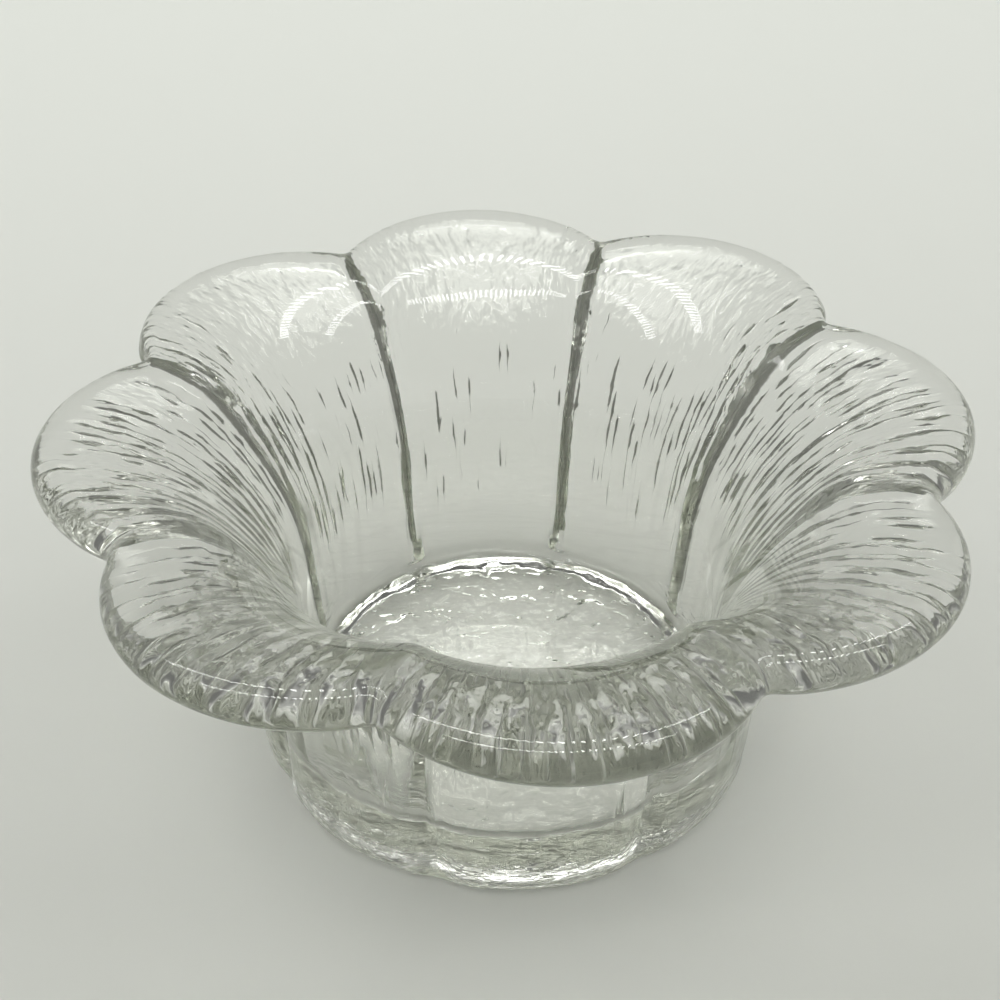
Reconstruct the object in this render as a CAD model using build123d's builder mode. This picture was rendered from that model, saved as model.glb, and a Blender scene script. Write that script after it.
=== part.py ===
"""Flower bowl of clear pressed glass: a round well whose wall flares into eight rounded petals."""
import os
from math import asin, cos, degrees, radians, sin, tan

from build123d import *

# Driving sizes, in millimetres and degrees
petal_count = 8
rim_diameter = 180.0  # across the tips of two opposite petals
height = 78.0  # from the table to the crest of the petals
notch_depth = 10.0  # from the circle of the tips in to the bottom of a notch
notch_round = 3.5  # radius at the bottom of a notch
lip_thickness = 7.7  # glass at the crest of the petals
lip_round = 3.4  # rounding of the petals' edge
crest_setback = 4.0  # from the tip of a petal in to its crest
well_diameter = 82.0  # at the floor of the well, before its corner is rounded
well_draft = 6.0  # lean of the inner wall
floor_thickness = 9.5  # solid glass below the well
floor_round = 5.0  # radius between the floor and the inner wall
throat_reach = 18.5  # from the edge of the well out to the middle of the flare
throat_slope = 43.7  # slope of the glass there
throat_thickness = 9.3  # glass there, square to the surface
base_wall = 12.5  # from the edge of the well to the outside of the base
base_draft = 2.0  # lean of the outer wall
foot_round = 5.0  # radius around the foot
groove_width = 9.0  # of the outer groove between two petals
groove_depth = 2.4
groove_shoulder = 18.0  # slope at which a groove meets the outer wall
groove_start = 45.0  # slope of the foot where a groove begins
cut_margin = 1.0  # how far a cut runs past the glass
cutter_flank = 6.0  # length of the slanted sides of a groove's cutter outside the glass
edge_share = 0.45  # most of the lip's thickness that the rounding of one edge may take

# Radii and heights worked out from the driving sizes
rim_radius = rim_diameter / 2
well_radius = well_diameter / 2
base_radius = well_radius + base_wall
throat_radius = well_radius + throat_reach
crest_radius = rim_radius - crest_setback
throat_height = height - (crest_radius - throat_radius) * tan(radians(throat_slope / 2))

# The middle of the flare, on the inside and on the outside of the glass
inner_throat = Vector(throat_radius, throat_height)
outer_throat = inner_throat + Vector(sin(radians(throat_slope)), -cos(radians(throat_slope))) * throat_thickness


def draw_wall(foot, draft, throat, crest_height):
    """Draw one side of the wall: a leaning line, then two arcs that bend it over and out past the tips."""
    lean = Vector(sin(radians(draft)), cos(radians(draft)))
    run = lean.Y - sin(radians(throat_slope))
    rise = cos(radians(throat_slope)) - lean.X
    reach = throat.X - foot.X - (throat.Y - foot.Y) * tan(radians(draft))
    bend_radius = reach / (run - rise * tan(radians(draft)))
    crest_bend = (crest_height - throat.Y) / (1 - cos(radians(throat_slope)))
    past_crest = rim_radius + cut_margin - throat.X - crest_bend * sin(radians(throat_slope))
    bend_start = throat - Vector(run, rise) * bend_radius
    Line(foot, bend_start)
    bend = JernArc(bend_start, lean, bend_radius, throat_slope + draft - 90)
    return JernArc(bend @ 1, bend % 1, crest_bend, -throat_slope - degrees(asin(past_crest / crest_bend)))


# Plan of the petals: lobe arcs joined by the small arcs of the notches
petal_turn = 360 / petal_count
notch_radius = rim_radius - notch_depth
notch_reach = notch_radius + notch_round
lobe_reach = rim_radius + notch_round
lobe_offset = (lobe_reach**2 - notch_reach**2) / (lobe_reach - notch_reach * cos(radians(petal_turn / 2))) / 2
lobe = Vector(lobe_offset, 0)
notch = Vector(notch_reach, 0).rotate(Axis.Z, petal_turn / 2)
lobe_end = lobe + (notch - lobe).normalized() * (rim_radius - lobe_offset)
with BuildSketch() as petals:
    with BuildLine():
        for number in range(petal_count):
            turn = number * petal_turn
            lobe_start = Vector(lobe_end.X, -lobe_end.Y).rotate(Axis.Z, turn)
            tip = Vector(rim_radius, 0).rotate(Axis.Z, turn)
            notch_bottom = Vector(notch_radius, 0).rotate(Axis.Z, turn + petal_turn / 2)
            petal_edge = ThreePointArc(lobe_start, tip, lobe_end.rotate(Axis.Z, turn))
            ThreePointArc(petal_edge @ 1, notch_bottom, lobe_start.rotate(Axis.Z, petal_turn))
    make_face()

# Cutter of one groove, swept from below the foot up the outer wall and out under the rim
foot_center = base_radius + foot_round * (tan(radians(base_draft)) - 1 / cos(radians(base_draft)))
foot_slope = Vector(cos(radians(groove_start)), sin(radians(groove_start)))
foot_point = Vector(foot_center + foot_round * foot_slope.Y, foot_round - foot_round * foot_slope.X)
run_in = foot_slope * 2 * (foot_round + groove_depth)
with BuildLine() as groove_line:
    Line(foot_point - run_in, foot_point)
    foot_arc = JernArc(foot_point, foot_slope, foot_round, 90 - base_draft - groove_start)
    draw_wall(foot_arc @ 1, base_draft, outer_throat, height - lip_thickness)
groove_path = Plane.XZ.from_local_coords(groove_line.wire())
with BuildPart() as groove_cutter:
    with BuildSketch(Plane(groove_path @ 0, x_dir=(0, 1, 0), z_dir=groove_path % 0)):
        with BuildLine():
            shoulder = Vector(cos(radians(groove_shoulder)), -sin(radians(groove_shoulder)))
            right = Spline((0, groove_depth), (groove_width / 2, 0), tangents=[(1, 0), shoulder])
            slant = PolarLine(right @ 1, cutter_flank, direction=right % 1)
            mirror(about=Plane.YZ)
            Line(slant @ 1, Vector(-(slant @ 1).X, (slant @ 1).Y))
        make_face()
    sweep(path=groove_path)

# One petal with its share of the base: glass turned about the axis, trimmed to the petals, its edge rounded,
# then cut out along the middles of two notches and grooved on both sides
petal_sides = [Vector(2 * rim_radius, 0).rotate(Axis.Z, petal_turn * side) for side in (0.5, 1.5)]
with BuildPart() as petal:
    with BuildSketch(Plane.XZ) as section:
        with BuildLine():
            outer = draw_wall(Vector(base_radius, 0), base_draft, outer_throat, height - lip_thickness)
            inner = draw_wall(Vector(well_radius, floor_thickness), well_draft, inner_throat, height)
            Line(outer @ 1, inner @ 1)
            Polyline((well_radius, floor_thickness), (0, floor_thickness), (0, 0), (base_radius, 0))
        make_face()
        fillet(section.vertices().sort_by_distance((base_radius, 0))[0], foot_round)
        fillet(section.vertices().sort_by_distance((well_radius, floor_thickness))[0], floor_round)
    revolve(axis=Axis.Z)
    extrude(petals.sketch, amount=height + cut_margin, mode=Mode.INTERSECT)
    rim_edges = petal.faces().filter_by(GeomType.CYLINDER).edges().filter_by(Axis.Z, reverse=True)
    fillet(rim_edges, min(lip_round, edge_share * lip_thickness))
    with BuildSketch():
        Polygon((0, 0), *petal_sides, align=None)
    extrude(amount=height + cut_margin, mode=Mode.INTERSECT)
    with PolarLocations(0, 2, start_angle=petal_turn / 2, angular_range=2 * petal_turn):
        add(groove_cutter.part, mode=Mode.SUBTRACT)

# The bowl: the petals set round the axis as one piece of glass
with BuildPart() as bowl:
    with PolarLocations(0, petal_count):
        add(petal.part, clean=False)

bowl.part.label = "glass_bowl"
os.makedirs("parts", exist_ok=True)
export_step(bowl.part, "parts/glass_bowl.step")
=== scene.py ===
"""Flower bowl of clear pressed glass: a round well on a thick base, its wall flared into eight petals."""
from math import asin, atan2, cos, degrees, exp, hypot, inf, pi, radians, sin, sqrt, tan

import bmesh
import bpy
from mathutils import Matrix, Vector, noise


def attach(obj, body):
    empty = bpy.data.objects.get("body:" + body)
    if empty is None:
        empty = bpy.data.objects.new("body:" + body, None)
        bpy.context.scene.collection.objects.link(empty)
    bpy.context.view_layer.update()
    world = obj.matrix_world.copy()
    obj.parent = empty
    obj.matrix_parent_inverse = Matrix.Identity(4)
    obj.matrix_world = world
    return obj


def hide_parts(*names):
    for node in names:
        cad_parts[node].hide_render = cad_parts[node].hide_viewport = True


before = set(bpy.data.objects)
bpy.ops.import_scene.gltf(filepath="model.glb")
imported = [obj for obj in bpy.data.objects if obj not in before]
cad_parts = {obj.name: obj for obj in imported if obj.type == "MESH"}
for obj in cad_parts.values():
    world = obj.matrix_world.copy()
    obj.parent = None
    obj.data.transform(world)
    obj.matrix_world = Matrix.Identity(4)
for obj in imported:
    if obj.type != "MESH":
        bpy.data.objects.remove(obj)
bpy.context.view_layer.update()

MM = 0.001

# Sizes of the glass, in millimetres and degrees, as in the CAD model apart from the oval rim
PETALS = 8
RIM_RADIUS = 90.0
HEIGHT = 78.0
LIP = 7.7
RIM_REACH = 5.0  # of the oval rim, from its thickest place out to the tips
CREST_SETBACK = 4.0
NOTCH_RADIUS = 80.0
NOTCH_ROUND = 3.5
WELL_RADIUS = 41.0
WELL_DRAFT = 6.0
WELL_FLOOR = 9.5
FLOOR_ROUND = 5.0
THROAT_REACH = 18.5
THROAT_SLOPE = 43.7
THROAT_GLASS = 9.3
BASE_RADIUS = 53.5
BASE_DRAFT = 2.0
FOOT_ROUND = 5.0
FOOT_CENTRE = BASE_RADIUS + FOOT_ROUND * (tan(radians(BASE_DRAFT)) - 1 / cos(radians(BASE_DRAFT)))
SEAM = (101, 98.5)  # angles over the crest at which the inside ends and the outside begins

# How finely the glass is spun
STREAKS_A_PETAL = 28
COLUMNS_A_STREAK = 5
INSIDE_COLUMNS_A_PETAL = 28
SAME_PLACE = 1e-3  # vertices closer than this are one

HALF_PETAL = pi / PETALS
STREAKS = PETALS * STREAKS_A_PETAL
STREAK_TURN = 2 * pi / STREAKS


def along(start, end, steps):
    """Points of a straight stretch, without its first point."""
    return [Vector(start).lerp(Vector(end), i / steps) for i in range(1, steps + 1)]


def around(centre, radius, start, end, steps, reach=None):
    """Points of an arc between two angles in degrees, without its first point. With a reach it is oval."""
    angles = [radians(start + (end - start) * i / steps) for i in range(1, steps + 1)]
    reach = reach or radius
    return [Vector(centre) + Vector((reach * cos(a), radius * sin(a))) for a in angles]


class WallSide:
    """One side of the wall in section: a leaning line, a bend to the throat, a bend over to the crest."""

    def __init__(self, foot, draft, throat, crest_height):
        lean = Vector((sin(radians(draft)), cos(radians(draft))))
        level = Vector((sin(radians(THROAT_SLOPE)), cos(radians(THROAT_SLOPE))))
        run = lean.y - level.x
        rise = level.y - lean.x
        reach = throat.x - foot.x - (throat.y - foot.y) * tan(radians(draft))
        self.bend = reach / (run - rise * tan(radians(draft)))
        self.bend_start = throat - Vector((run, rise)) * self.bend
        self.bend_centre = self.bend_start + Vector((lean.y, -lean.x)) * self.bend
        self.crest_bend = (crest_height - throat.y) / (1 - level.y)
        self.crest_centre = throat + Vector((level.x, -level.y)) * self.crest_bend


throat_radius = WELL_RADIUS + THROAT_REACH
crest_radius = RIM_RADIUS - CREST_SETBACK
throat_height = HEIGHT - (crest_radius - throat_radius) * tan(radians(THROAT_SLOPE / 2))
through_throat = Vector((sin(radians(THROAT_SLOPE)), -cos(radians(THROAT_SLOPE))))
inner_throat = Vector((throat_radius, throat_height))
outer_throat = inner_throat + THROAT_GLASS * through_throat
inside_wall = WallSide(Vector((WELL_RADIUS, WELL_FLOOR)), WELL_DRAFT, inner_throat, HEIGHT)
outside_wall = WallSide(Vector((BASE_RADIUS, 0)), BASE_DRAFT, outer_throat, HEIGHT - LIP)


def inside_section():
    """Section of the well, from the middle of its floor up to the start of the crest."""
    wall = inside_wall
    turn = 90 + THROAT_SLOPE
    corner = FLOOR_ROUND * tan(radians((90 - WELL_DRAFT) / 2))
    round_centre = Vector((WELL_RADIUS - corner, WELL_FLOOR + FLOOR_ROUND))
    points = [Vector((0, WELL_FLOOR))]
    points += along(points[-1], (round_centre.x, WELL_FLOOR), steps=8)
    points += around(round_centre, FLOOR_ROUND, -90, -WELL_DRAFT, steps=9)
    points += along(points[-1], wall.bend_start, steps=8)
    points += around(wall.bend_centre, wall.bend, 180 - WELL_DRAFT, turn, steps=18)
    points += around(wall.crest_centre, wall.crest_bend, turn, SEAM[0], steps=14)
    return points


def outside_section():
    """Section from the crest over the rounded rim, down the outside and round the foot."""
    inner, outer = inside_wall, outside_wall
    turn = 90 + THROAT_SLOPE
    thickest = RIM_RADIUS - RIM_REACH
    under = 90 + degrees(asin((outer.crest_centre.x - thickest) / outer.crest_bend))
    under_way = Vector((cos(radians(under)), sin(radians(under))))
    rim_foot = outer.crest_centre + outer.crest_bend * under_way
    rim_rise = sqrt(inner.crest_bend**2 - (inner.crest_centre.x - thickest)**2)
    rim_top = Vector((thickest, inner.crest_centre.y + rim_rise))
    rim_centre = Vector((thickest, (rim_top.y + rim_foot.y) / 2))
    rim_half = (rim_top.y - rim_foot.y) / 2
    foot_centre = Vector((FOOT_CENTRE, FOOT_ROUND))
    foot_way = Vector((cos(radians(BASE_DRAFT)), -sin(radians(BASE_DRAFT))))
    points = around(inner.crest_centre, inner.crest_bend, *SEAM, steps=1)
    points += [rim_top]
    points += around(rim_centre, rim_half, 90, -90, steps=14, reach=RIM_REACH)
    points += around(outer.crest_centre, outer.crest_bend, under, turn, steps=20)
    points += around(outer.bend_centre, outer.bend, turn, 180 - BASE_DRAFT, steps=15)
    points += along(points[-1], foot_centre + FOOT_ROUND * foot_way, steps=10)
    points += around(foot_centre, FOOT_ROUND, -BASE_DRAFT, -90, steps=6)
    return points


def spin_section(points, columns):
    """Spin a section through one petal, so many columns wide, and copy that round the axis.

    Each vertex keeps how far along the section it lies."""
    shell = bmesh.new()
    far = shell.verts.layers.float.new("far")
    row = []
    distance = 0
    for number, point in enumerate(points):
        if number:
            distance += (point - points[number - 1]).length
        vert = shell.verts.new((point.x, 0, point.y))
        vert[far] = distance
        row.append(vert)
    edges = [shell.edges.new(pair) for pair in zip(row, row[1:])]
    about = {"cent": (0, 0, 0), "axis": (0, 0, 1)}
    petal = 2 * HALF_PETAL
    bmesh.ops.spin(shell, geom=row + edges, angle=petal, steps=columns, **about)
    spun = shell.verts[:] + shell.edges[:] + shell.faces[:]
    bmesh.ops.spin(shell, geom=spun, angle=2 * pi - petal, steps=PETALS - 1, use_duplicate=True, **about)
    bmesh.ops.remove_doubles(shell, verts=shell.verts[:], dist=SAME_PLACE)
    return shell


def fade(value, start, end):
    """Smooth step from 0 at start to 1 at end."""
    share = min(max((value - start) / (end - start), 0), 1)
    return share * share * (3 - 2 * share)


def between(first, second, share):
    """A pair of values that lies between two pairs."""
    return [a + (b - a) * share for a, b in zip(first, second)]


# Plan of the petals: lobe arcs joined by the small arcs of the notches
NOTCH_REACH = NOTCH_RADIUS + NOTCH_ROUND
LOBE_REACH = RIM_RADIUS + NOTCH_ROUND
LOBE_OFFSET = (LOBE_REACH**2 - NOTCH_REACH**2) / (LOBE_REACH - NOTCH_REACH * cos(HALF_PETAL)) / 2
LOBE_RADIUS = RIM_RADIUS - LOBE_OFFSET
notch_way = Vector((NOTCH_REACH * cos(HALF_PETAL) - LOBE_OFFSET, NOTCH_REACH * sin(HALF_PETAL)))
notch_way.normalize()
LOBE_TURN = atan2(LOBE_RADIUS * notch_way.y, LOBE_OFFSET + LOBE_RADIUS * notch_way.x)


def from_petal(angle):
    """Angle from the middle of the nearest petal, from 0 to half a petal."""
    return abs((angle + HALF_PETAL) % (2 * HALF_PETAL) - HALF_PETAL)


def petal_edge(angle):
    """Radius of the petals' edge in plan, at an angle round the axis."""
    turn = from_petal(angle)
    if turn < LOBE_TURN:
        return LOBE_OFFSET * cos(turn) + sqrt(LOBE_RADIUS**2 - (LOBE_OFFSET * sin(turn))**2)
    turn = HALF_PETAL - turn
    return NOTCH_REACH * cos(turn) - sqrt(NOTCH_ROUND**2 - (NOTCH_REACH * sin(turn))**2)


NOTCH_DROP = 1.6  # how much lower the rim is at a notch
OUTSIDE_FLARE = (57, 80)  # radii over which the outside is drawn in to the petals
INSIDE_FLARE = (49, 77)  # and the inside


def draw_in_petals(vert, flare):
    """Draw the flare of a shell in to the edge of the petals. Gives the angle and the radius it had."""
    angle = atan2(vert.co.y, vert.co.x)
    radius = hypot(vert.co.x, vert.co.y)
    drawn = (RIM_RADIUS - petal_edge(angle)) * fade(radius, *flare)
    vert.co.x -= drawn * cos(angle)
    vert.co.y -= drawn * sin(angle)
    vert.co.z -= NOTCH_DROP * drawn / (RIM_RADIUS - NOTCH_RADIUS)
    return angle, radius


LOBE_BULGE = 1.0  # how far the outside swells between two grooves
GROOVE_FRONT = (-0.1, 0.3)  # sine of the turn to the front over which grooves become soft
GROOVE_DEPTH = 1.7  # of the soft part of a groove
GROOVE_WIDTH = 6.4
SOFT_AT_SIDES = (0.5, 0.8)  # cosine of the turn over which the soft part shows at the sides
SOFT_AT_BASE = (22, 10)  # heights over which it shows round the base
SOFT_IN_FRONT = 0.6  # share of it that shows in front
CUT_HALF = 1.5  # half the width of the sharp cut along its bottom
NOTCH_CUT_HALF = 1.2  # and under the rim
CUT_NARROWING = (66, 84)  # radii over which it narrows
CUT_SLOPE = 1.1  # steepness of the cut's flanks
CUT_FOOT = (8, 16)  # heights over which the cut begins
CUT_LOSS_IN_FRONT = 0.6  # share of it that is missing in front
CUT_FOOT_IN_FRONT = (56, 46)  # heights over which the rest of it ends there
# share of the cut's painted shade that is missing in front
CUT_PAINTED_SHADE_LOSS_IN_FRONT = 0.5
GROOVE_START = (6, 11)  # distances from the crest over which a groove begins
GROOVE_START_IN_FRONT = (11, 21)
GROOVE_END = (1, 7)  # distances from the foot over which it ends
CUT_PAINTED_SHADE = (0.3, 0.75)  # shares of the cut's depth over which painted shade darkens its glass
CUT_PAINTED_SHADE_START = (12, 18)  # distances from the crest over which that begins
ON_GROOVE_LINE = 1e-5  # angle from the bottom of a groove that still counts as on it
SHARP_GROOVE = 0.3  # least depth of a groove whose bottom is a sharp line


def facing_front(angle):
    """How much a groove at an angle is one of the soft grooves in front."""
    return fade(-sin(angle), *GROOVE_FRONT)


def groove(angle, radius, height):
    """Depth of the outside at an angle: convex lobes, and a groove where two lobes meet.

    Gives too how much painted shade the sharp cut gets there, less in front."""
    turn = from_petal(angle)
    aside = radius * (HALF_PETAL - turn)
    front = facing_front(angle)
    lobe = LOBE_BULGE * (turn / HALF_PETAL)**2
    soft = GROOVE_DEPTH * exp(-(2 * aside / GROOVE_WIDTH)**2)
    soft *= max(fade(abs(cos(angle)), *SOFT_AT_SIDES), fade(height, *SOFT_AT_BASE), SOFT_IN_FRONT * front)
    half = CUT_HALF + (NOTCH_CUT_HALF - CUT_HALF) * fade(radius, *CUT_NARROWING)
    share = max(half - aside, 0) / half * fade(height, *CUT_FOOT)
    share *= (1 - CUT_LOSS_IN_FRONT * front) * (1 - front * fade(height, *CUT_FOOT_IN_FRONT))
    return lobe + soft + CUT_SLOPE * half * share, share * (1 - CUT_PAINTED_SHADE_LOSS_IN_FRONT * front)


def press_grooves(shell, turns, length):
    """Press the grooves into the outside and paint shade into their glass. Gives the vertices on sharp
    lines.
    """
    far = shell.verts.layers.float["far"]
    painted_shade = shell.verts.layers.float["painted_shade"]
    creases = set()
    for vert, (angle, radius) in zip(shell.verts, turns):
        depth, cut = groove(angle, radius, vert.co.z)
        start = between(GROOVE_START, GROOVE_START_IN_FRONT, facing_front(angle))
        depth *= fade(vert[far], *start) * fade(length - vert[far], *GROOVE_END)
        # painted shade along the bottom of the cut
        vert[painted_shade] = fade(cut, *CUT_PAINTED_SHADE) * fade(vert[far], *CUT_PAINTED_SHADE_START)
        vert.co -= vert.normal * depth
        if HALF_PETAL - from_petal(angle) < ON_GROOVE_LINE and depth > SHARP_GROOVE:
            creases.add(vert)
    shell.normal_update()
    return creases


STREAK_APART = 3.71  # between two streaks in the noise, so that they have nothing in common
SEED_APART = 1.37
COLUMN_DRAW = 0.3  # how close the columns of vertices are drawn to the line of a streak
WANDERS = ((0.35, inf, 5), (0.30, 20, 9), (0.30, 5, 13), (0.20, 2.2, 17))  # share of the gap, length, seed
MOST_WANDER = 0.4


def chance(number, place, seed):
    """Smooth random value from -1 to 1 at a place along one streak."""
    return noise.noise(Vector((number * STREAK_APART + seed, seed * SEED_APART, place)))


def on_groove(number):
    """Whether the place of a streak is the bottom of a groove, which has none."""
    return number % STREAKS_A_PETAL == STREAKS_A_PETAL // 2


def follow_streak(vert, far):
    """Slide a vertex round so that its column follows the nearest streak.

    Gives the number of the streak and the distance to its line."""
    radius = hypot(vert.co.x, vert.co.y)
    place = atan2(vert.co.y, vert.co.x) / STREAK_TURN
    number = round(place)
    share = place - number
    number %= STREAKS
    drawn = share * (COLUMN_DRAW + (1 - COLUMN_DRAW) * (2 * share)**2)
    nearer = 1 - (2 * share)**2
    wander = sum(size * chance(number, far / length, seed) for size, length, seed in WANDERS)
    wander = min(max(wander, -MOST_WANDER), MOST_WANDER)
    if on_groove(number):
        wander = 0
    turned = (number + drawn + wander * nearer) * STREAK_TURN
    vert.co.x = radius * cos(turned)
    vert.co.y = radius * sin(turned)
    return number, drawn * STREAK_TURN * radius


# How dense the streaks are
BACK_PETALS = (0.3, 0.8)  # sine of the turn to the back
BACK_MIDDLE = (0.86, 0.95)
FRONT_PETALS = (0.3, 0.7)  # sine of the turn to the front
NEAR_DENSE = 0.12
FRONT_DENSER = 0.06
THROAT_DENSER = 0.2
THROAT = (20, 40)  # distances from the crest, like the pairs below
BASE_SPARSER = 0.9
BASE = (58, 72)
BACK_DENSE = -0.75
BACK_WALL_DENSER = 0.7
BACK_MIDDLE_SPARSER = 0.2
BACK_WALL = (34, 52)
BACK_FOOT_SPARSER = 0.6
BACK_FOOT = (74, 88)


def streak_density(turn, far):
    """How dense the streaks are at a turn round the axis and a distance from the crest."""
    front = fade(-sin(turn), *FRONT_PETALS)
    back = fade(sin(turn), *BACK_PETALS)
    middle = fade(sin(turn), *BACK_MIDDLE)
    near_dense = NEAR_DENSE + FRONT_DENSER * front + THROAT_DENSER * fade(far, *THROAT)
    near_dense -= BASE_SPARSER * fade(far, *BASE)
    back_dense = BACK_DENSE + (BACK_WALL_DENSER - BACK_MIDDLE_SPARSER * middle) * fade(far, *BACK_WALL)
    back_dense -= BACK_FOOT_SPARSER * fade(far, *BACK_FOOT)
    return near_dense + (back_dense - near_dense) * back


STREAK_HALF = 0.5  # widest half of a streak
STREAK_SLOPE = 0.75  # steepness of its flanks on the front petals
SIDE_SLOPE = 0.5  # and on the others
STEP_WIDENING = 1.5  # how much wider a step is than a cut
STEP_SLOPE_LENGTH = 1.1  # over which a step falls away again
LEAF_LENGTH = 7  # of the waves that make a streak leaf-shaped
BACK_LEAF_LENGTH = 11
LEAF_EDGE = (-0.12, 0.36)  # of those waves, from nothing to the full width
STREAK_LUCK = 0.5  # how much one streak as a whole may be denser than another
KNOT_LENGTH = 3  # of the short waves in its width
KNOT_MEAN = 0.85
KNOT_RANGE = 0.8
TOOTH_HALF = 0.12  # how much wider a streak may end under the rim
TOOTH_END = (15, 25)  # distances from the crest over which that ends
TOOTH_PLACE = 3  # in the noise
TOOTH_LUCK = (-0.3, 0.3)
PAINTED_SHADE_EDGE = (0, 0.3)  # distances in from the edge of a streak over which painted shade darkens its glass
PAINTED_SHADE_LENGTH = 12  # of the waves in its painted shade
PAINTED_SHADE_MEAN = 0.75
PAINTED_SHADE_RANGE = 0.5
# share of the painted shade that is missing on the front petals
PAINTED_SHADE_LOSS_IN_FRONT = 0.25


def streak(number, aside, far):
    """Height of a streak, a sharp cut or a step, at a distance from its line, and how much painted shade it
    gets there.

    Streaks are leaf-shaped along their line, dense on the near petals and sparse at the back."""
    if on_groove(number):
        return 0, 0
    turn = number * STREAK_TURN
    front = fade(-sin(turn), *FRONT_PETALS)
    back = fade(sin(turn), *BACK_PETALS)
    leaf_length = LEAF_LENGTH + (BACK_LEAF_LENGTH - LEAF_LENGTH) * back
    luck = chance(number, far / leaf_length, seed=21) + STREAK_LUCK * chance(number, 0, seed=33)
    leaf = fade(luck + streak_density(turn, far), *LEAF_EDGE)
    half = STREAK_HALF * leaf * (KNOT_MEAN + KNOT_RANGE * chance(number, far / KNOT_LENGTH, seed=41))
    tooth = fade(chance(number, TOOTH_PLACE, seed=51), *TOOTH_LUCK)
    half += TOOTH_HALF * (1 - fade(far, *TOOTH_END)) * tooth * (1 - back)
    # painted shade of the glass along the streak
    dark = fade(half - abs(aside), *PAINTED_SHADE_EDGE)
    dark *= PAINTED_SHADE_MEAN + PAINTED_SHADE_RANGE * chance(number, far / PAINTED_SHADE_LENGTH, seed=61)
    dark *= 1 - PAINTED_SHADE_LOSS_IN_FRONT * front
    slope = SIDE_SLOPE + (STREAK_SLOPE - SIDE_SLOPE) * front
    if number % 2:
        return -slope * max(half - abs(aside), 0), dark
    if cos(turn) < 0:
        aside = -aside
    if aside < 0:
        return slope * max(STEP_WIDENING * half + aside, 0), dark
    return slope * STEP_WIDENING * half * max(1 - aside / STEP_SLOPE_LENGTH, 0), dark


def ripple(co, cell):
    """Slow waves left in the surface of pressed glass, from -1 to 1."""
    return noise.noise(co / cell)


def ripples(co, waves):
    """Several waves at once, each with its height and its cell."""
    return sum(height * ripple(co, cell) for height, cell in waves)


STREAK_START = (16, 22)  # distances from the crest over which streaks begin
STREAK_END = (14, 22)  # distances from the foot over which they end
ON_STREAK_LINE = 1e-3  # distance from the line of a streak that still counts as on it
SHARP_STREAK = 0.05  # least height of a streak whose line is sharp
TO_THE_BACK = (0, 40)  # y over which the grain of the front turns into that of the back
GRAIN_START = (14, 24)  # distances from the crest over which the grain begins
BACK_GRAIN_START = (8, 16)
GRAIN_END = (44, 56)
FRONT_GRAIN = 0.7
BACK_GRAIN = 0.3  # how much more there is at the back
WATER_TOP = (13, 6)  # heights over which the watery ripples of the base begin
WATER_FOOT = (0, 1)
WATER_BACK = (40, 0)  # y over which they end at the back
MOTTLE_HEIGHT = 0.16
MOTTLE_WAVES = ((1, 2.1), (0.7, 1.2))
SWELL_HEIGHT = 0.05
WATER_SWELL_HEIGHT = 0.2
SWELL_CELLS = (10, 10, 5)
DRAPE_HEIGHT = 0.22  # of the upright waves round the base
DRAPE_CELL = 4.0
DRAPE_STRETCH = 6  # how much slower they change down the wall than round it
DRAPE_START = (62, 76)  # distances from the crest over which they begin
DRAPE_END = (8, 16)  # distances from the foot over which they end
DRAPE_BACK = (-50, -42)  # y over which they begin behind the front
FLOW_RADIUS = 60.0
FLOW_STRETCH = 0.45  # how much slower the grain changes down the wall than round it


def press_streaks(shell, lines, length):
    """Press the streaks and the waves of the mould into the outside, and keep the streaks' painted shade.
    Gives the vertices on sharp lines.
    """
    values = shell.verts.layers.float
    far, painted_shade, grain, water = (values[name] for name in ("far", "painted_shade", "grain", "water"))
    flow = shell.verts.layers.float_vector["flow"]
    creases = set()
    for vert, (number, aside) in zip(shell.verts, lines):
        to_crest = vert[far]
        to_foot = length - to_crest
        height, dark = streak(number, aside, to_crest)
        rough = fade(to_crest, *STREAK_START) * fade(to_foot, *STREAK_END)
        height *= rough
        if abs(aside) < ON_STREAK_LINE and abs(height) > SHARP_STREAK:
            creases.add(vert)
        # painted shade along the streaks, the larger of it and the groove's
        vert[painted_shade] = max(vert[painted_shade], dark * rough)
        back = fade(vert.co.y, *TO_THE_BACK)
        vert[grain] = fade(to_crest, *between(GRAIN_START, BACK_GRAIN_START, back))
        vert[grain] *= (1 - fade(to_crest, *GRAIN_END)) * (FRONT_GRAIN + BACK_GRAIN * back)
        low = fade(vert.co.z, *WATER_TOP) * fade(vert.co.z, *WATER_FOOT)
        vert[water] = low * fade(vert.co.y, *WATER_BACK)
        height += MOTTLE_HEIGHT * vert[grain] * ripples(vert.co, MOTTLE_WAVES)
        swell = noise.noise(Vector([at / cell for at, cell in zip(vert.co, SWELL_CELLS)]))
        height += (SWELL_HEIGHT + WATER_SWELL_HEIGHT * vert[water]) * swell
        around_axis = Vector((vert.co.x, vert.co.y)).normalized() * FLOW_RADIUS
        drape = fade(to_crest, *DRAPE_START) * fade(to_foot, *DRAPE_END) * fade(vert.co.y, *DRAPE_BACK)
        drape *= ripple(Vector((*around_axis, to_crest / DRAPE_STRETCH)), DRAPE_CELL)
        height += DRAPE_HEIGHT * drape
        vert[flow] = (*around_axis, to_crest * FLOW_STRETCH)
        vert.co += vert.normal * height
    return creases


def outward(shell):
    """Turn a shell's faces so that they look away from its axis."""
    shell.normal_update()
    lean = sum(v.normal.x * v.co.x + v.normal.y * v.co.y for v in shell.verts)
    if lean < 0:
        bmesh.ops.reverse_faces(shell, faces=shell.faces[:])
        shell.normal_update()


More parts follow.
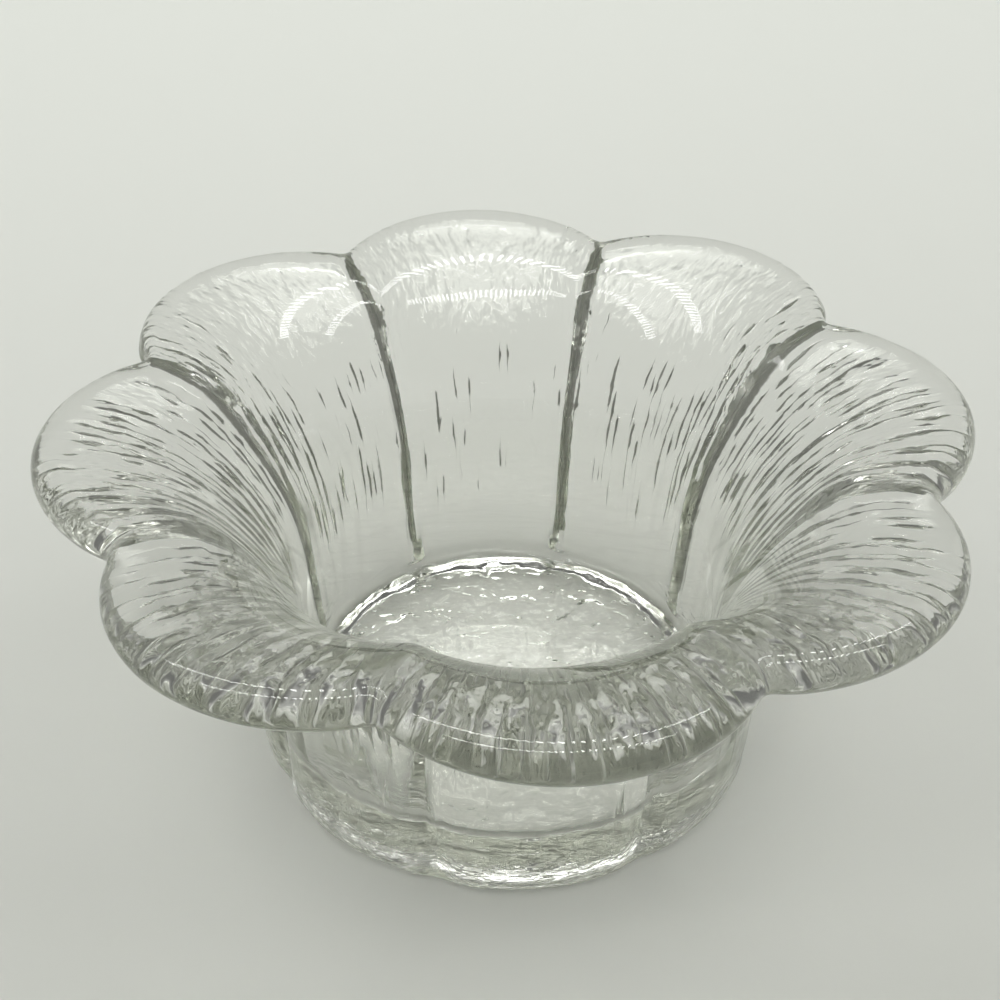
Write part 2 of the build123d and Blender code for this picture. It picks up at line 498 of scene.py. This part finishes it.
def press_outside():
    """The outside of the glass, from the crest of the petals down to the foot."""
    shell = spin_section(outside_section(), STREAKS_A_PETAL * COLUMNS_A_STREAK)
    # the first value kept here is the painted shade of the cuts and streaks; grain and water keep bumps
    for name in ("painted_shade", "grain", "water"):
        shell.verts.layers.float.new(name)
    shell.verts.layers.float_vector.new("flow")
    far = shell.verts.layers.float["far"]
    length = max(vert[far] for vert in shell.verts)
    lines = [follow_streak(vert, vert[far]) for vert in shell.verts]
    turns = [draw_in_petals(vert, OUTSIDE_FLARE) for vert in shell.verts]
    outward(shell)
    creases = press_grooves(shell, turns, length)
    creases |= press_streaks(shell, lines, length)
    for edge in shell.edges:
        edge.smooth = not creases.issuperset(edge.verts)
    return shell


VALLEY_DEPTH = 0.8  # dip of the inside between two petals
VALLEY_WIDTH = 7.0
VALLEY_START = (50, 62)  # radii over which the dip begins
VALLEY_END = (70, 80)  # and over which it ends
CORNER_START = (28, 36)  # radii over which the waves round the floor of the well begin
CORNER_TOP = (18, 12)  # heights over which they begin
CORNER_WAVES = ((0.45, 3.4), (0.45, 1.7))


def valley(angle, radius):
    """Depth of the inside's dip between two petals."""
    aside = radius * (HALF_PETAL - from_petal(angle))
    dip = VALLEY_DEPTH * exp(-(aside / VALLEY_WIDTH)**2)
    return dip * fade(radius, *VALLEY_START) * (1 - fade(radius, *VALLEY_END))


def press_inside():
    """The smooth inside: the well and the flare up to the crest of the petals."""
    shell = spin_section(inside_section(), INSIDE_COLUMNS_A_PETAL)
    for vert in shell.verts:
        angle, radius = draw_in_petals(vert, INSIDE_FLARE)
        vert.co.z -= valley(angle, radius)
        corner = fade(radius, *CORNER_START) * fade(vert.co.z, *CORNER_TOP)
        vert.co.z += ripples(vert.co, CORNER_WAVES) * corner
    return shell


# The underside. Distances are measured in from the middle of the foot's rounding
RING_OUTSIDE = 1.0
RING_INSIDE = 4.0
HOLLOW_START = 7.0
HOLLOW = 0.9
ICE_START = 6.0
ICE_FADE = 4
ICE_HEIGHT = 0.6
ICE_WAVES = ((1, 5.0), (0.6, 2.4))
ICE_WATER = 0.85


def press_underside():
    """The underside, a little hollow inside the ring that it stands on, and rough like ice."""
    points = [Vector((FOOT_CENTRE - RING_OUTSIDE, 0))]
    points += along(points[-1], (FOOT_CENTRE - RING_INSIDE, 0), steps=2)
    points += along(points[-1], (FOOT_CENTRE - HOLLOW_START, HOLLOW), steps=4)
    points += along(points[-1], (0, HOLLOW), steps=22)
    shell = spin_section(points, INSIDE_COLUMNS_A_PETAL)
    water = shell.verts.layers.float.new("water")
    for vert in shell.verts:
        radius = hypot(vert.co.x, vert.co.y)
        inner = fade(FOOT_CENTRE - ICE_START - radius, 0, ICE_FADE)
        vert[water] = ICE_WATER * inner
        vert.co.z += ICE_HEIGHT * (ripples(vert.co, ICE_WAVES) + 1.0) * inner
    return shell


def open_loops(shell):
    """The open edges of a joined shell."""
    return [edge for edge in shell.edges if edge.is_boundary]


def join_shells(*shells):
    """One shell that holds the faces and the kept values of several."""
    joined = bmesh.new()
    for shell in shells:
        mesh = bpy.data.meshes.new("shell")
        shell.to_mesh(mesh)
        joined.from_mesh(mesh)
        bpy.data.meshes.remove(mesh)
        shell.free()
    return joined


def press_bowl(finish):
    """The whole bowl as one closed piece of glass."""
    bowl = join_shells(press_outside(), press_inside(), press_underside())
    middle = HEIGHT / 2
    for high in (True, False):
        rings = [edge for edge in open_loops(bowl) if (edge.verts[0].co.z > middle) == high]
        bmesh.ops.bridge_loops(bowl, edges=rings)
    bmesh.ops.recalc_face_normals(bowl, faces=bowl.faces[:])
    bmesh.ops.scale(bowl, vec=(MM, MM, MM), verts=bowl.verts[:])
    for face in bowl.faces:
        face.smooth = True
    mesh = bpy.data.meshes.new("pressed_bowl")
    bowl.to_mesh(mesh)
    bowl.free()
    mesh.materials.append(finish)
    piece = bpy.data.objects.new("pressed_bowl", mesh)
    bpy.context.collection.objects.link(piece)
    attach(piece, "root")
    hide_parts("glass_bowl")
    return piece


def new_material(name):
    """A material, its tree of nodes and its shader."""
    material = bpy.data.materials.new(name)
    material.use_nodes = True
    return material, material.node_tree, material.node_tree.nodes["Principled BSDF"]


def feed(tree, socket, value):
    """Give a socket a number or a colour, or link the output of another node to it."""
    if isinstance(value, bpy.types.NodeSocket):
        tree.links.new(value, socket)
    else:
        socket.default_value = value


def work_out(tree, operation, *values):
    """The result of a sum, a product and the like."""
    node = tree.nodes.new("ShaderNodeMath")
    node.operation = operation
    for socket, value in zip(node.inputs, values):
        feed(tree, socket, value)
    return node.outputs["Value"]


def mix_colours(tree, share, first, second):
    """The first colour where the share is 0, the second where it is 1."""
    node = tree.nodes.new("ShaderNodeMix")
    node.data_type = "RGBA"
    feed(tree, node.inputs["Factor"], share)
    feed(tree, node.inputs["A"], first)
    feed(tree, node.inputs["B"], second)
    return node.outputs["Result"]


def colour_ramp(tree, value, steps):
    """A colour that runs through steps, each a place from 0 to 1 and a colour."""
    ramp = tree.nodes.new("ShaderNodeValToRGB")
    stops = ramp.color_ramp.elements
    while len(stops) < len(steps):
        stops.new(1.0)
    for stop, (place, colour) in zip(stops, steps):
        stop.position = place
        stop.color = (*colour, 1)
    tree.links.new(value, ramp.inputs["Fac"])
    return ramp.outputs["Color"]


def kept_value(tree, name):
    """A node that reads a value kept at the vertices."""
    node = tree.nodes.new("ShaderNodeAttribute")
    node.attribute_name = name
    return node


GLASS_TINT = (0.99, 0.99, 0.985)
GLASS_BEND = 1.5  # index of refraction
DEPTH_TINT = (0.80, 0.81, 0.77)
DEPTH_DENSITY = 28.0
LINE_PAINTED_SHADE = (0.13, 0.132, 0.115)  # painted shade of the glass along the cuts and streaks
# how clear the glass stays under the full painted shade of a line
LINE_CLEARNESS = 0.55
LINE_START = 0.12  # painted shade at which a line begins to show, less its bark
LINE_FULL = 0.42
BARK_CELLS = 1.4  # to a millimetre across the flow
BARK_SHARE = 0.4  # of the painted shade that the bark takes off
GRAIN_CELLS = 0.8  # to a millimetre across the flow
GRAIN_HEIGHT = 0.28
WATER_CELL = (2.6, 2.6, 1.1)  # of the watery ripples round the base
WATER_HEIGHT = 0.7


def painted_shade_lines(tree, flow):
    """How much the painted shade along the cuts and streaks shows, with edges as ragged as bark."""
    bark = tree.nodes.new("ShaderNodeTexNoise")
    bark.inputs["Scale"].default_value = BARK_CELLS
    tree.links.new(flow, bark.inputs["Vector"])
    painted_shade = kept_value(tree, "painted_shade")
    ragged = work_out(tree, "MULTIPLY_ADD", bark.outputs["Fac"], -BARK_SHARE, painted_shade.outputs["Fac"])
    line = tree.nodes.new("ShaderNodeMapRange")
    line.interpolation_type = "SMOOTHSTEP"
    line.inputs["From Min"].default_value = LINE_START
    line.inputs["From Max"].default_value = LINE_FULL
    tree.links.new(ragged, line.inputs["Value"])
    return line.outputs["Result"]


def relief(tree, vector, scale, weight_name, height):
    """Heights of a noise, as strong as a value kept at the vertices says."""
    pattern = tree.nodes.new("ShaderNodeTexNoise")
    pattern.inputs["Scale"].default_value = scale
    pattern.inputs["Detail"].default_value = 1.0
    tree.links.new(vector, pattern.inputs["Vector"])
    weight = kept_value(tree, weight_name)
    weighed = work_out(tree, "MULTIPLY", pattern.outputs["Fac"], weight.outputs["Fac"])
    return work_out(tree, "MULTIPLY", weighed, height)


def mould_relief(tree, flow):
    """The fine grain of the wall and the watery ripples of the base, heights in millimetres."""
    spot = tree.nodes.new("ShaderNodeTexCoord")
    squash = tree.nodes.new("ShaderNodeMapping")
    squash.inputs["Scale"].default_value = [1 / (MM * cell) for cell in WATER_CELL]
    tree.links.new(spot.outputs["Object"], squash.inputs["Vector"])
    grain = relief(tree, flow, GRAIN_CELLS, "grain", GRAIN_HEIGHT)
    water = relief(tree, squash.outputs["Vector"], 1.0, "water", WATER_HEIGHT)
    bump = tree.nodes.new("ShaderNodeBump")
    bump.inputs["Strength"].default_value = 1.0
    bump.inputs["Distance"].default_value = MM
    tree.links.new(work_out(tree, "ADD", grain, water), bump.inputs["Height"])
    return bump.outputs["Normal"]


def clear_glass():
    """Soda glass, clear in a thin pane and grey green in depth, with the mould's marks on its outside and
    painted shade along its cuts and streaks.
    """
    material, tree, shader = new_material("clear_glass")
    nodes, links = tree.nodes, tree.links
    shader.inputs["Roughness"].default_value = 0.0
    shader.inputs["IOR"].default_value = GLASS_BEND
    flow = kept_value(tree, "flow").outputs["Vector"]
    line = painted_shade_lines(tree, flow)
    # painted shade: the glass turns dark grey and less clear along the cuts and streaks
    links.new(mix_colours(tree, line, (*GLASS_TINT, 1), (*LINE_PAINTED_SHADE, 1)), shader.inputs["Base Color"])
    clear = nodes.new("ShaderNodeMapRange")
    clear.inputs["To Min"].default_value = 1.0
    clear.inputs["To Max"].default_value = LINE_CLEARNESS
    links.new(line, clear.inputs["Value"])
    links.new(clear.outputs["Result"], shader.inputs["Transmission Weight"])
    depth = nodes.new("ShaderNodeVolumeAbsorption")
    depth.inputs["Color"].default_value = (*DEPTH_TINT, 1)
    depth.inputs["Density"].default_value = DEPTH_DENSITY
    links.new(depth.outputs["Volume"], nodes["Material Output"].inputs["Volume"])
    links.new(mould_relief(tree, flow), shader.inputs["Normal"])
    return material


# y over which the paper's painted shading runs
PAPER_FRONT = -0.60
PAPER_BACK = 0.48
PAPER_PAINTED_SHADING = ((0.0, (0.72, 0.73, 0.695)), (0.46, (0.58, 0.587, 0.555)), (1.0, (0.86, 0.875, 0.835)))
PAPER_ROUGHNESS = 0.8
PAPER_SHINE = 0.1


def pale_paper():
    """Matt paper with painted shading: greyest just in front of the bowl, lighter behind it and further in
    front.
    """
    material, tree, shader = new_material("pale_paper")
    nodes, links = tree.nodes, tree.links
    spot = nodes.new("ShaderNodeTexCoord")
    split = nodes.new("ShaderNodeSeparateXYZ")
    links.new(spot.outputs["Object"], split.inputs[0])
    place = nodes.new("ShaderNodeMapRange")
    place.inputs["From Min"].default_value = PAPER_FRONT
    place.inputs["From Max"].default_value = PAPER_BACK
    links.new(split.outputs["Y"], place.inputs["Value"])
    # painted shading of the paper, by its place from front to back
    links.new(colour_ramp(tree, place.outputs["Result"], PAPER_PAINTED_SHADING), shader.inputs["Base Color"])
    shader.inputs["Roughness"].default_value = PAPER_ROUGHNESS
    shader.inputs["Specular IOR Level"].default_value = PAPER_SHINE
    return material


FLOOR_RADIUS = 4.0
FLOOR_SIDES = 128
FLOOR_GAP = 0.0001  # below the glass


def lay_floor():
    """A round sheet of paper under the bowl."""
    plane = bmesh.new()
    bmesh.ops.create_circle(plane, cap_ends=True, segments=FLOOR_SIDES, radius=FLOOR_RADIUS)
    mesh = bpy.data.meshes.new("floor")
    plane.to_mesh(mesh)
    plane.free()
    mesh.materials.append(pale_paper())
    floor = bpy.data.objects.new("floor", mesh)
    floor.location.z = -FLOOR_GAP
    bpy.context.collection.objects.link(floor)


# Brightness of the surroundings by the sine of the elevation: what the paper gets, and what the glass bends
ROOM_ON_PAPER = ((0.0, 0.55), (0.70, 0.55), (0.92, 0.9))
ROOM_IN_GLASS = ((0.0, 0.45), (0.08, 0.40), (0.16, 0.15), (0.78, 0.15), (0.94, 4.0))
ROOM_TINT = Vector((0.985, 1.0, 0.955))
BACKDROP = 0.72


def light_room():
    """A dim room lit from above, which the glass bends into its dark lines, before a pale backdrop."""
    world = bpy.data.worlds.new("room")
    world.use_nodes = True
    tree = world.node_tree
    way = tree.nodes.new("ShaderNodeTexCoord")
    split = tree.nodes.new("ShaderNodeSeparateXYZ")
    tree.links.new(way.outputs["Generated"], split.inputs[0])

    def levels(steps):
        return colour_ramp(tree, split.outputs["Z"], [(place, level * ROOM_TINT) for place, level in steps])

    path = tree.nodes.new("ShaderNodeLightPath").outputs
    lit = mix_colours(tree, path["Is Transmission Ray"], levels(ROOM_ON_PAPER), levels(ROOM_IN_GLASS))
    seen = mix_colours(tree, path["Is Camera Ray"], lit, (*(BACKDROP * ROOM_TINT), 1))
    tree.links.new(seen, tree.nodes["Background"].inputs["Color"])
    bpy.context.scene.world = world


STRIP_HEIGHT = 0.87
STRIP_ASIDE = 0.214
STRIP_AIM = (0, 0, 0.07)
STRIP_LENGTH = 1.25
STRIP_WIDTH = 0.08
STRIP_RADIANCE = 5.5
STRIP_LAMPS = 42  # small lamps along a strip
STRIP_LAMP_SHARE = 0.33  # of the strip's length that they fill


def hang_lamp(name, place, aim, size, radiance):
    """A flat lamp of an even brightness, aimed at a point of the bowl."""
    data = bpy.data.lights.new(name, "AREA")
    data.shape = "RECTANGLE"
    data.size, data.size_y = size
    data.energy = radiance * pi * size[0] * size[1]
    lamp = bpy.data.objects.new(name, data)
    lamp.location = place
    lamp.rotation_euler = (Vector(place) - Vector(aim)).to_track_quat("Z", "Y").to_euler()
    bpy.context.collection.objects.link(lamp)
    return lamp


def dot_strip(lamp):
    """Break a lamp's light into a row of small lamps along its length."""
    lamp.data.use_nodes = True
    tree = lamp.data.node_tree
    spot = tree.nodes.new("ShaderNodeNewGeometry")
    split = tree.nodes.new("ShaderNodeSeparateXYZ")
    tree.links.new(spot.outputs["Parametric"], split.inputs[0])
    spaced = work_out(tree, "MULTIPLY", split.outputs["X"], STRIP_LAMPS)
    share = work_out(tree, "FRACT", spaced)
    lit = work_out(tree, "LESS_THAN", share, STRIP_LAMP_SHARE)
    strength = work_out(tree, "DIVIDE", lit, STRIP_LAMP_SHARE)
    tree.links.new(strength, tree.nodes["Emission"].inputs["Strength"])


GLASS_BOUNCES = 28
SHINE_BOUNCES = 20


def let_light_through():
    """Let light bounce as often inside the thick glass as it does in the real one."""
    paths = bpy.context.scene.cycles
    paths.max_bounces = GLASS_BOUNCES
    paths.transmission_bounces = GLASS_BOUNCES
    paths.glossy_bounces = SHINE_BOUNCES


# Camera read from the photograph's outline
VIEW_AZIMUTH = -7.387
VIEW_ELEVATION = 37.076
VIEW_DISTANCE = 344.44
VIEW_ROLL = -0.783
VIEW_TARGET = Vector((3.28, 42.80, 24.17))
VIEW_FOCAL = 1.4594  # focal length as a share of the picture's width
VIEW_SENSOR = 36
VIEW_NEAREST = 0.01


def place_camera():
    """The photograph's view of the bowl."""
    azimuth, elevation, roll = radians(VIEW_AZIMUTH), radians(VIEW_ELEVATION), radians(VIEW_ROLL)
    back = Vector((sin(azimuth) * cos(elevation), -cos(azimuth) * cos(elevation), sin(elevation)))
    right = Vector((0, 0, 1)).cross(back).normalized()
    up = back.cross(right)
    turned_right = cos(roll) * right - sin(roll) * up
    turned_up = sin(roll) * right + cos(roll) * up
    data = bpy.data.cameras.new("camera")
    data.sensor_width = VIEW_SENSOR
    data.lens = VIEW_FOCAL * data.sensor_width
    data.clip_start = VIEW_NEAREST
    camera = bpy.data.objects.new("camera", data)
    place = Matrix((turned_right, turned_up, back)).transposed().to_4x4()
    place.translation = (VIEW_TARGET + back * VIEW_DISTANCE) * MM
    camera.matrix_world = place
    bpy.context.collection.objects.link(camera)
    bpy.context.scene.camera = camera


light_room()
for name, side in (("strip_front", -1), ("strip_back", 1)):
    place = (0, side * STRIP_ASIDE, STRIP_HEIGHT)
    dot_strip(hang_lamp(name, place, STRIP_AIM, (STRIP_LENGTH, STRIP_WIDTH), STRIP_RADIANCE))
lay_floor()
press_bowl(clear_glass())
place_camera()
bpy.context.scene.view_settings.view_transform = "Standard"
let_light_through()
